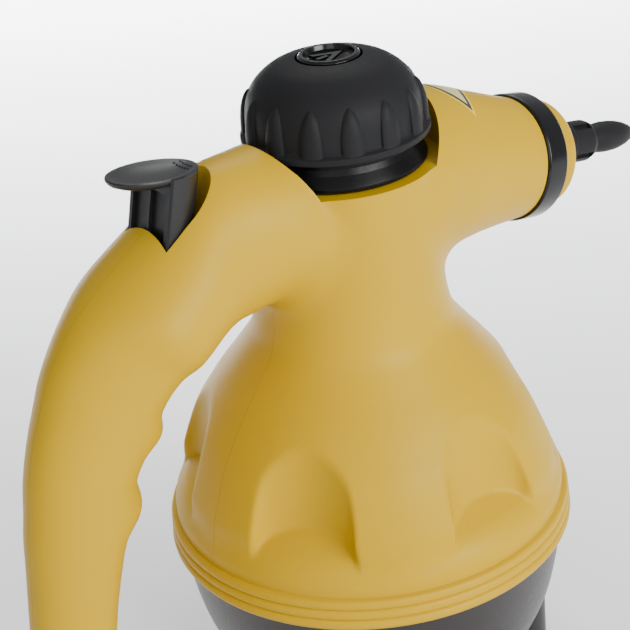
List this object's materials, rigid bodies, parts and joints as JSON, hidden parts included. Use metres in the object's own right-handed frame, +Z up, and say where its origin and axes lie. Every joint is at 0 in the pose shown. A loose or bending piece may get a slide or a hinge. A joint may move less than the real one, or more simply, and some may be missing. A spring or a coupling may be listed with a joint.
{
  "type": "handheld steam cleaner",
  "caption": "Pear-shaped handheld steam cleaner with a pistol handle, thumb button, screwed safety cap and short bayonet nozzle on a cup-shaped base.",
  "frame": {"origin": "centre of the flat pad under the base, where the body's axis meets the surface that it stands on", "axes": "+X towards the nozzle, +Z up along the body's axis, Y = 0 is the plane of the housing's seam"},
  "size_m": [0.2559, 0.1294, 0.2116],
  "materials": {
    "barrel_end_cap_yellow_plastic": "satin gloss moulded",
    "barrel_ring_black_gloss_plastic": "glossy moulded",
    "base_cup_base_plastic": "satin moulded",
    "base_screw_1_steel": "plated",
    "base_screw_2_steel": "plated",
    "base_screw_3_steel": "plated",
    "base_screw_4_steel": "plated",
    "boiler_gasket_silicone": "matte",
    "boiler_lower_aluminium": "cast",
    "boiler_screw_1_steel": "plated",
    "boiler_screw_2_steel": "plated",
    "boiler_screw_3_steel": "plated",
    "boiler_screw_4_steel": "plated",
    "boiler_screw_5_steel": "plated",
    "boiler_screw_6_steel": "plated",
    "boiler_upper_aluminium": "cast",
    "cap_insert_black_gloss_plastic": "glossy moulded",
    "cap_knob_black_matte_plastic": "fine matte moulded",
    "cap_plug_brass": "turned",
    "cap_seal_silicone": "matte",
    "cord_clamp_cream_plastic": "moulded",
    "cord_gland_rubber": "matte",
    "filler_neck_brass": "turned",
    "foot_1_rubber": "matte",
    "foot_2_rubber": "matte",
    "foot_3_rubber": "matte",
    "foot_4_rubber": "matte",
    "heating_element_steel": "plated",
    "housing_left_yellow_plastic": "satin gloss moulded",
    "housing_right_yellow_plastic": "satin gloss moulded",
    "housing_screw_barrel_steel": "plated",
    "housing_screw_grip_high_steel": "plated",
    "housing_screw_grip_low_steel": "plated",
    "housing_screw_hump_steel": "plated",
    "inner_lead_lead_sheath": "extruded sheath",
    "knob_spring_steel": "plated",
    "neck_collar_black_gloss_plastic": "glossy moulded",
    "nozzle_seal_silicone": "matte",
    "nozzle_socket_black_matte_plastic": "fine matte moulded",
    "nozzle_spout_black_matte_plastic": "fine matte moulded",
    "relief_poppet_brass": "turned",
    "relief_spring_steel": "plated",
    "steam_pipe_brass": "turned",
    "terminal_block_cream_plastic": "moulded",
    "thermal_fuse_cream_plastic": "moulded",
    "thermostat_steel": "plated",
    "trigger_button_black_matte_plastic": "fine matte moulded",
    "trigger_spring_steel": "plated",
    "valve_body_brass": "turned",
    "valve_plunger_brass": "turned",
    "valve_seal_silicone": "matte",
    "valve_spring_steel": "plated"
  },
  "bodies": {
    "housing": {"barrel_end_cap": "barrel_end_cap_yellow_plastic", "barrel_ring": "barrel_ring_black_gloss_plastic", "base_cup": "base_cup_base_plastic", "base_screw_1": "base_screw_1_steel", "base_screw_2": "base_screw_2_steel", "base_screw_3": "base_screw_3_steel", "base_screw_4": "base_screw_4_steel", "boiler_gasket": "boiler_gasket_silicone", "boiler_lower": "boiler_lower_aluminium", "boiler_screw_1": "boiler_screw_1_steel", "boiler_screw_2": "boiler_screw_2_steel", "boiler_screw_3": "boiler_screw_3_steel", "boiler_screw_4": "boiler_screw_4_steel", "boiler_screw_5": "boiler_screw_5_steel", "boiler_screw_6": "boiler_screw_6_steel", "boiler_upper": "boiler_upper_aluminium", "cord_clamp": "cord_clamp_cream_plastic", "cord_gland": "cord_gland_rubber", "filler_neck": "filler_neck_brass", "foot_1": "foot_1_rubber", "foot_2": "foot_2_rubber", "foot_3": "foot_3_rubber", "foot_4": "foot_4_rubber", "heating_element": "heating_element_steel", "housing_left": "housing_left_yellow_plastic", "housing_right": "housing_right_yellow_plastic", "housing_screw_barrel": "housing_screw_barrel_steel", "housing_screw_grip_high": "housing_screw_grip_high_steel", "housing_screw_grip_low": "housing_screw_grip_low_steel", "housing_screw_hump": "housing_screw_hump_steel", "inner_lead": "inner_lead_lead_sheath", "neck_collar": "neck_collar_black_gloss_plastic", "nozzle_seal": "nozzle_seal_silicone", "nozzle_socket": "nozzle_socket_black_matte_plastic", "steam_pipe": "steam_pipe_brass", "terminal_block": "terminal_block_cream_plastic", "thermal_fuse": "thermal_fuse_cream_plastic", "thermostat": "thermostat_steel", "trigger_spring": "trigger_spring_steel", "valve_body": "valve_body_brass", "valve_seal": "valve_seal_silicone", "valve_spring": "valve_spring_steel"},
    "button": {"trigger_button": "trigger_button_black_matte_plastic"},
    "plunger": {"valve_plunger": "valve_plunger_brass"},
    "cap_carrier": {"cap_seal": "cap_seal_silicone"},
    "cap": {"cap_plug": "cap_plug_brass", "cap_insert": "cap_insert_black_gloss_plastic", "knob_spring": "knob_spring_steel", "relief_spring": "relief_spring_steel"},
    "knob": {"cap_knob": "cap_knob_black_matte_plastic"},
    "relief": {"relief_poppet": "relief_poppet_brass"},
    "nozzle": {"nozzle_spout": "nozzle_spout_black_matte_plastic"}
  },
  "joints": [
    {"name": "trigger_press", "type": "slide", "parent": "housing", "child": "button", "axis": [-0.247, 0, -0.969], "range_m": [0, 0.005], "stiffness_N_per_m": 1200, "springref_m": -0.002, "deforming": ["trigger_spring"]},
    {"name": "valve_press", "type": "slide", "parent": "housing", "child": "plunger", "axis": [0, 0, -1], "range_m": [0, 0.005], "stiffness_N_per_m": 600, "springref_m": -0.002, "deforming": ["valve_spring"]},
    {"name": "cap_lift", "type": "slide", "parent": "housing", "child": "cap_carrier", "axis": [0, 0, 1], "range_m": [0, 0.009]},
    {"name": "cap_turn", "type": "hinge", "parent": "cap_carrier", "child": "cap", "pos_m": [0, 0, 0.185], "axis": [0, 0, 1], "range_deg": [0, 1080]},
    {"name": "knob_press", "type": "slide", "parent": "cap", "child": "knob", "axis": [0, 0, -1], "range_m": [0, 0.0025], "stiffness_N_per_m": 2000, "springref_m": -0.001, "deforming": ["knob_spring"]},
    {"name": "relief_lift", "type": "slide", "parent": "cap", "child": "relief", "axis": [0, 0, 1], "range_m": [0, 0.002], "stiffness_N_per_m": 2000, "springref_m": -0.003, "deforming": ["relief_spring"]},
    {"name": "nozzle_twist", "type": "hinge", "parent": "housing", "child": "nozzle", "pos_m": [0.0933, 0, 0.15383], "axis": [0.9829, 0, -0.184], "range_deg": [0, 60]}
  ],
  "couplings": [
    {"joint": "valve_press", "follows": "trigger_press", "ratio": 0.969},
    {"joint": "cap_turn", "follows": "cap_lift", "rad_per_m": 2094.4}
  ]
}
